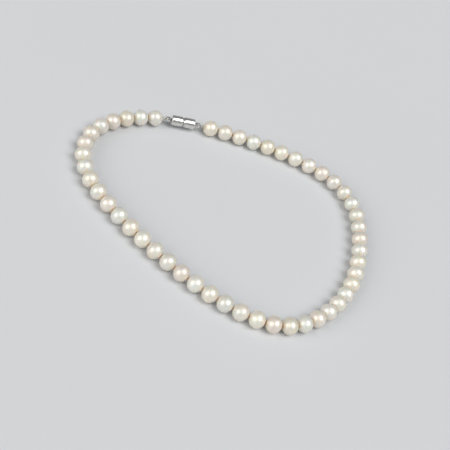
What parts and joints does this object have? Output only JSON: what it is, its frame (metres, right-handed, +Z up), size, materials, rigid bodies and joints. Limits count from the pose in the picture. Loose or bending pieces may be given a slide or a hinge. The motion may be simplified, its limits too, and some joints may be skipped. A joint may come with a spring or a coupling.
{
  "type": "pearl necklace",
  "caption": "Single strand of near-round drilled pearls knotted on silk, laid in a closed loop and fastened at the back by a magnetic barrel clasp.",
  "frame": {"origin": "centre of the box that holds the laid-out necklace, on the surface it lies on", "axes": "+Z up from the surface, -Y towards the front of the strand, +Y towards the clasp"},
  "size_m": [0.1648, 0.151, 0.009],
  "materials": {
    "nacre": "lustrous white nacre",
    "silk": "twisted silk",
    "silver": "polished silver",
    "nickel": "satin nickel plate"
  },
  "bodies": {
    "link_25": {"pearl_25": "nacre", "silk_thread": "silk"},
    "clasp_half_left": {"clasp_eye_left": "silver", "clasp_cup_left": "silver", "clasp_magnet_left": "nickel"},
    "wire_left": {"french_wire_left": "silver"},
    "clasp_half_right": {"clasp_eye_right": "silver", "clasp_cup_right": "silver", "clasp_magnet_right": "nickel"},
    "wire_right": {"french_wire_right": "silver"},
    "link_24": {"pearl_24": "nacre"},
    "link_26": {"pearl_26": "nacre"},
    "link_23": {"pearl_23": "nacre"},
    "link_27": {"pearl_27": "nacre"},
    "link_22": {"pearl_22": "nacre"},
    "link_28": {"pearl_28": "nacre"},
    "link_21": {"pearl_21": "nacre"},
    "link_29": {"pearl_29": "nacre"},
    "link_20": {"pearl_20": "nacre"},
    "link_30": {"pearl_30": "nacre"},
    "link_19": {"pearl_19": "nacre"},
    "link_31": {"pearl_31": "nacre"},
    "link_18": {"pearl_18": "nacre"},
    "link_32": {"pearl_32": "nacre"},
    "link_17": {"pearl_17": "nacre"},
    "link_33": {"pearl_33": "nacre"},
    "link_16": {"pearl_16": "nacre"},
    "link_34": {"pearl_34": "nacre"},
    "link_15": {"pearl_15": "nacre"},
    "link_35": {"pearl_35": "nacre"},
    "link_14": {"pearl_14": "nacre"},
    "link_36": {"pearl_36": "nacre"},
    "link_13": {"pearl_13": "nacre"},
    "link_37": {"pearl_37": "nacre"},
    "link_12": {"pearl_12": "nacre"},
    "link_38": {"pearl_38": "nacre"},
    "link_11": {"pearl_11": "nacre"},
    "link_39": {"pearl_39": "nacre"},
    "link_10": {"pearl_10": "nacre"},
    "link_40": {"pearl_40": "nacre"},
    "link_09": {"pearl_09": "nacre"},
    "link_41": {"pearl_41": "nacre"},
    "link_08": {"pearl_08": "nacre"},
    "link_42": {"pearl_42": "nacre"},
    "link_07": {"pearl_07": "nacre"},
    "link_43": {"pearl_43": "nacre"},
    "link_06": {"pearl_06": "nacre"},
    "link_44": {"pearl_44": "nacre"},
    "link_05": {"pearl_05": "nacre"},
    "link_45": {"pearl_45": "nacre"},
    "link_04": {"pearl_04": "nacre"},
    "link_46": {"pearl_46": "nacre"},
    "link_03": {"pearl_03": "nacre"},
    "link_47": {"pearl_47": "nacre"},
    "link_02": {"pearl_02": "nacre"},
    "link_48": {"pearl_48": "nacre"},
    "link_01": {"pearl_01": "nacre"},
    "link_49": {"pearl_49": "nacre"}
  },
  "joints": [
    {"name": "clasp_left_turn", "type": "hinge", "parent": "wire_left", "child": "clasp_half_left", "pos_m": [-0.02308, 0.07098, 0.0045], "axis": [0, 0, 1], "range_deg": [-15, 15]},
    {"name": "wire_left_tilt", "type": "hinge", "parent": "link_01", "child": "wire_left", "pos_m": [-0.02668, 0.07099, 0.0045], "axis": [-0.0015, -1, 0], "range_deg": [-10, 10]},
    {"name": "clasp_right_turn", "type": "hinge", "parent": "wire_right", "child": "clasp_half_right", "pos_m": [-0.00545, 0.06786, 0.0045], "axis": [0, 0, -1], "range_deg": [-15, 15]},
    {"name": "wire_right_tilt", "type": "hinge", "parent": "link_49", "child": "wire_right", "pos_m": [-0.00198, 0.06689, 0.0045], "axis": [0.2695, 0.963, 0], "range_deg": [-10, 10]},
    {"name": "knot_01_left_bend", "type": "hinge", "parent": "link_25", "child": "link_24", "pos_m": [0.00787, -0.071, 0.0045], "axis": [0, 0, 1], "range_deg": [0, 16], "deforming": ["silk_thread"]},
    {"name": "knot_01_right_bend", "type": "hinge", "parent": "link_25", "child": "link_26", "pos_m": [0.01675, -0.07098, 0.0045], "axis": [0, 0, -1], "range_deg": [0, 16], "deforming": ["silk_thread"]},
    {"name": "knot_02_left_bend", "type": "hinge", "parent": "link_24", "child": "link_23", "pos_m": [-0.00073, -0.06874, 0.0045], "axis": [0, 0, 1], "range_deg": [0, 16], "deforming": ["silk_thread"]},
    {"name": "knot_02_right_bend", "type": "hinge", "parent": "link_26", "child": "link_27", "pos_m": [0.02536, -0.06874, 0.0045], "axis": [0, 0, -1], "range_deg": [0, 16], "deforming": ["silk_thread"]},
    {"name": "knot_03_left_bend", "type": "hinge", "parent": "link_23", "child": "link_22", "pos_m": [-0.00875, -0.06487, 0.0045], "axis": [0, 0, 1], "range_deg": [0, 16], "deforming": ["silk_thread"]},
    {"name": "knot_03_right_bend", "type": "hinge", "parent": "link_27", "child": "link_28", "pos_m": [0.03347, -0.06506, 0.0045], "axis": [0, 0, -1], "range_deg": [0, 16], "deforming": ["silk_thread"]},
    {"name": "knot_04_left_bend", "type": "hinge", "parent": "link_22", "child": "link_21", "pos_m": [-0.01618, -0.05998, 0.0045], "axis": [0, 0, 1], "range_deg": [0, 16], "deforming": ["silk_thread"]},
    {"name": "knot_04_right_bend", "type": "hinge", "parent": "link_28", "child": "link_29", "pos_m": [0.04104, -0.06038, 0.0045], "axis": [0, 0, -1], "range_deg": [0, 16], "deforming": ["silk_thread"]},
    {"name": "knot_05_left_bend", "type": "hinge", "parent": "link_21", "child": "link_20", "pos_m": [-0.02312, -0.0544, 0.0045], "axis": [0, 0, 1], "range_deg": [0, 16], "deforming": ["silk_thread"]},
    {"name": "knot_05_right_bend", "type": "hinge", "parent": "link_29", "child": "link_30", "pos_m": [0.04804, -0.05489, 0.0045], "axis": [0, 0, -1], "range_deg": [0, 16], "deforming": ["silk_thread"]},
    {"name": "knot_06_left_bend", "type": "hinge", "parent": "link_20", "child": "link_19", "pos_m": [-0.02965, -0.04836, 0.0045], "axis": [0, 0, 1], "range_deg": [0, 16], "deforming": ["silk_thread"]},
    {"name": "knot_06_right_bend", "type": "hinge", "parent": "link_30", "child": "link_31", "pos_m": [0.05442, -0.04869, 0.0045], "axis": [0, 0, -1], "range_deg": [0, 16], "deforming": ["silk_thread"]},
    {"name": "lift_07_left", "type": "hinge", "parent": "link_19", "child": "link_18", "pos_m": [-0.03585, -0.04197, 0.0045], "axis": [0.737, 0.6759, 0], "range_deg": [-10, 10], "deforming": ["silk_thread"]},
    {"name": "lift_07_right", "type": "hinge", "parent": "link_31", "child": "link_32", "pos_m": [0.05999, -0.04174, 0.0045], "axis": [0.8159, -0.5782, 0], "range_deg": [-10, 10], "deforming": ["silk_thread"]},
    {"name": "knot_08_left_bend", "type": "hinge", "parent": "link_18", "child": "link_17", "pos_m": [-0.04168, -0.03524, 0.0045], "axis": [0, 0, 1], "range_deg": [0, 16], "deforming": ["silk_thread"]},
    {"name": "knot_08_right_bend", "type": "hinge", "parent": "link_32", "child": "link_33", "pos_m": [0.0647, -0.03419, 0.0045], "axis": [0, 0, -1], "range_deg": [0, 16], "deforming": ["silk_thread"]},
    {"name": "lift_09_left", "type": "hinge", "parent": "link_17", "child": "link_16", "pos_m": [-0.04724, -0.0283, 0.0045], "axis": [-0.7904, -0.6126, 0], "range_deg": [-10, 10], "deforming": ["silk_thread"]},
    {"name": "lift_09_right", "type": "hinge", "parent": "link_33", "child": "link_34", "pos_m": [0.06876, -0.02627, 0.0045], "axis": [-0.9053, 0.4248, 0], "range_deg": [-10, 10], "deforming": ["silk_thread"]},
    {"name": "knot_10_left_bend", "type": "hinge", "parent": "link_16", "child": "link_15", "pos_m": [-0.05258, -0.02118, 0.0045], "axis": [0, 0, 1], "range_deg": [0, 16], "deforming": ["silk_thread"]},
    {"name": "knot_10_right_bend", "type": "hinge", "parent": "link_34", "child": "link_35", "pos_m": [0.07225, -0.01809, 0.0045], "axis": [0, 0, -1], "range_deg": [0, 16], "deforming": ["silk_thread"]},
    {"name": "lift_11_left", "type": "hinge", "parent": "link_15", "child": "link_14", "pos_m": [-0.05771, -0.0139, 0.0045], "axis": [-0.826, -0.5636, 0], "range_deg": [-10, 10], "deforming": ["silk_thread"]},
    {"name": "lift_11_right", "type": "hinge", "parent": "link_35", "child": "link_36", "pos_m": [0.07516, -0.00967, 0.0045], "axis": [-0.9583, 0.2858, 0], "range_deg": [-10, 10], "deforming": ["silk_thread"]},
    {"name": "knot_12_left_bend", "type": "hinge", "parent": "link_14", "child": "link_13", "pos_m": [-0.06261, -0.00648, 0.0045], "axis": [0, 0, 1], "range_deg": [0, 16], "deforming": ["silk_thread"]},
    {"name": "knot_12_right_bend", "type": "hinge", "parent": "link_36", "child": "link_37", "pos_m": [0.07734, -0.00104, 0.0045], "axis": [0, 0, -1], "range_deg": [0, 16], "deforming": ["silk_thread"]},
    {"name": "lift_13_left", "type": "hinge", "parent": "link_13", "child": "link_12", "pos_m": [-0.06724, 0.00112, 0.0045], "axis": [0.8663, 0.4995, 0], "range_deg": [-10, 10], "deforming": ["silk_thread"]},
    {"name": "lift_13_right", "type": "hinge", "parent": "link_37", "child": "link_38", "pos_m": [0.0784, 0.00779, 0.0045], "axis": [1, -0.0075, 0], "range_deg": [-10, 10], "deforming": ["silk_thread"]},
    {"name": "knot_14_left_bend", "type": "hinge", "parent": "link_12", "child": "link_11", "pos_m": [-0.0715, 0.00894, 0.0045], "axis": [0, 0, 1], "range_deg": [0, 16], "deforming": ["silk_thread"]},
    {"name": "knot_14_right_bend", "type": "hinge", "parent": "link_38", "child": "link_39", "pos_m": [0.07747, 0.01664, 0.0045], "axis": [0, 0, -1], "range_deg": [0, 16], "deforming": ["silk_thread"]},
    {"name": "lift_15_left", "type": "hinge", "parent": "link_11", "child": "link_10", "pos_m": [-0.07514, 0.01706, 0.0045], "axis": [0.9402, 0.3405, 0], "range_deg": [-10, 10], "deforming": ["silk_thread"]},
    {"name": "lift_15_right", "type": "hinge", "parent": "link_39", "child": "link_40", "pos_m": [0.07423, 0.02493, 0.0045], "axis": [0.8766, 0.4812, 0], "range_deg": [-10, 10], "deforming": ["silk_thread"]},
    {"name": "knot_16_left_bend", "type": "hinge", "parent": "link_10", "child": "link_09", "pos_m": [-0.07755, 0.02563, 0.0045], "axis": [0, 0, 1], "range_deg": [0, 16], "deforming": ["silk_thread"]},
    {"name": "knot_16_right_bend", "type": "hinge", "parent": "link_40", "child": "link_41", "pos_m": [0.06897, 0.03211, 0.0045], "axis": [0, 0, -1], "range_deg": [0, 16], "deforming": ["silk_thread"]},
    {"name": "lift_17_left", "type": "hinge", "parent": "link_09", "child": "link_08", "pos_m": [-0.0783, 0.0345, 0.0045], "axis": [-0.9996, 0.0298, 0], "range_deg": [-10, 10], "deforming": ["silk_thread"]},
    {"name": "lift_17_right", "type": "hinge", "parent": "link_41", "child": "link_42", "pos_m": [0.06243, 0.03814, 0.0045], "axis": [-0.6309, -0.7759, 0], "range_deg": [-10, 10], "deforming": ["silk_thread"]},
    {"name": "knot_18_left_bend", "type": "hinge", "parent": "link_08", "child": "link_07", "pos_m": [-0.07702, 0.04331, 0.0045], "axis": [0, 0, 1], "range_deg": [0, 16], "deforming": ["silk_thread"]},
    {"name": "knot_18_right_bend", "type": "hinge", "parent": "link_42", "child": "link_43", "pos_m": [0.05519, 0.04332, 0.0045], "axis": [0, 0, -1], "range_deg": [0, 16], "deforming": ["silk_thread"]},
    {"name": "lift_19_left", "type": "hinge", "parent": "link_07", "child": "link_06", "pos_m": [-0.07354, 0.0515, 0.0045], "axis": [-0.8598, 0.5105, 0], "range_deg": [-10, 10], "deforming": ["silk_thread"]},
    {"name": "lift_19_right", "type": "hinge", "parent": "link_43", "child": "link_44", "pos_m": [0.04756, 0.0479, 0.0045], "axis": [-0.4815, -0.8764, 0], "range_deg": [-10, 10], "deforming": ["silk_thread"]},
    {"name": "knot_20_left_bend", "type": "hinge", "parent": "link_06", "child": "link_05", "pos_m": [-0.06802, 0.05848, 0.0045], "axis": [0, 0, 1], "range_deg": [0, 16], "deforming": ["silk_thread"]},
    {"name": "knot_20_right_bend", "type": "hinge", "parent": "link_44", "child": "link_45", "pos_m": [0.0396, 0.05189, 0.0045], "axis": [0, 0, -1], "range_deg": [0, 16], "deforming": ["silk_thread"]},
    {"name": "lift_21_left", "type": "hinge", "parent": "link_05", "child": "link_04", "pos_m": [-0.06085, 0.06375, 0.0045], "axis": [0.505, -0.8631, 0], "range_deg": [-10, 10], "deforming": ["silk_thread"]},
    {"name": "lift_21_right", "type": "hinge", "parent": "link_45", "child": "link_46", "pos_m": [0.03146, 0.05548, 0.0045], "axis": [0.3867, 0.9222, 0], "range_deg": [-10, 10], "deforming": ["silk_thread"]},
    {"name": "knot_22_left_bend", "type": "hinge", "parent": "link_04", "child": "link_03", "pos_m": [-0.05274, 0.06742, 0.0045], "axis": [0, 0, 1], "range_deg": [0, 16], "deforming": ["silk_thread"]},
    {"name": "knot_22_right_bend", "type": "hinge", "parent": "link_46", "child": "link_47", "pos_m": [0.02319, 0.05877, 0.0045], "axis": [0, 0, -1], "range_deg": [0, 16], "deforming": ["silk_thread"]},
    {"name": "lift_23_left", "type": "hinge", "parent": "link_03", "child": "link_02", "pos_m": [-0.04416, 0.06978, 0.0045], "axis": [0.2018, -0.9794, 0], "range_deg": [-10, 10], "deforming": ["silk_thread"]},
    {"name": "lift_23_right", "type": "hinge", "parent": "link_47", "child": "link_48", "pos_m": [0.01482, 0.0618, 0.0045], "axis": [0.3252, 0.9456, 0], "range_deg": [-10, 10], "deforming": ["silk_thread"]},
    {"name": "knot_24_left_bend", "type": "hinge", "parent": "link_02", "child": "link_01", "pos_m": [-0.03534, 0.071, 0.0045], "axis": [0, 0, 1], "range_deg": [0, 16], "deforming": ["silk_thread"]},
    {"name": "knot_24_right_bend", "type": "hinge", "parent": "link_48", "child": "link_49", "pos_m": [0.00636, 0.06456, 0.0045], "axis": [0, 0, -1], "range_deg": [0, 16], "deforming": ["silk_thread"]}
  ]
}
